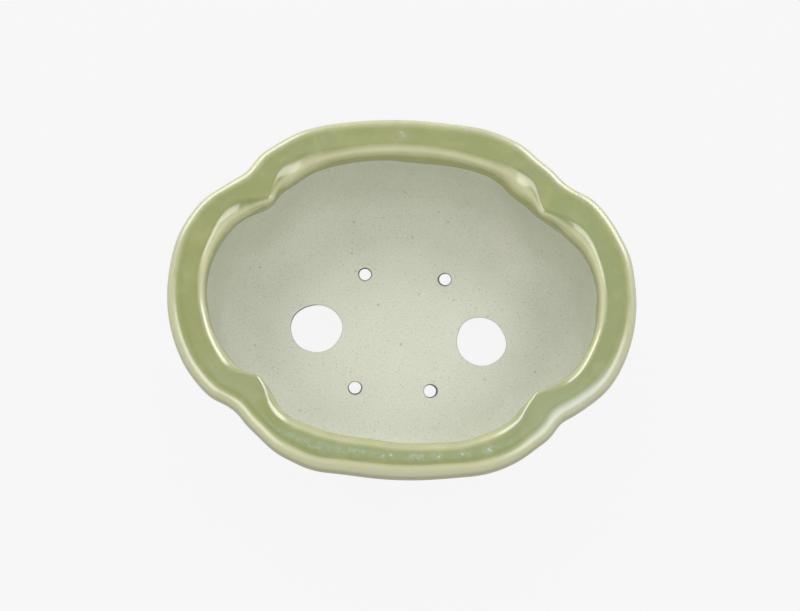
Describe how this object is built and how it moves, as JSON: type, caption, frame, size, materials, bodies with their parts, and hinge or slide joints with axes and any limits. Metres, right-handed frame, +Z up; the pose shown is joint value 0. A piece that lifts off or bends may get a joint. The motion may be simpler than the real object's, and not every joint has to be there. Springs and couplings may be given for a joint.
{
  "type": "bonsai pot",
  "caption": "Lobed oval bonsai pot with a heavy rolled lip, olive-green glaze outside, bare speckled clay inside, drain and tie-wire holes in the floor, and bracket feet.",
  "frame": {"origin": "middle of the pot's base, on the plane that the feet stand on", "axes": "+Z up out of the mouth, the pot's length along X, front at -Y"},
  "size_m": [0.2, 0.1616, 0.07],
  "materials": {
    "glaze": "gloss",
    "clay": "matt"
  },
  "bodies": {
    "root": {"floor": "clay", "wall": "clay", "lip": "clay", "foot_front_left": "glaze", "foot_front_right": "glaze", "foot_back_left": "glaze", "foot_back_right": "glaze", "glaze_coat": "glaze"}
  },
  "joints": []
}
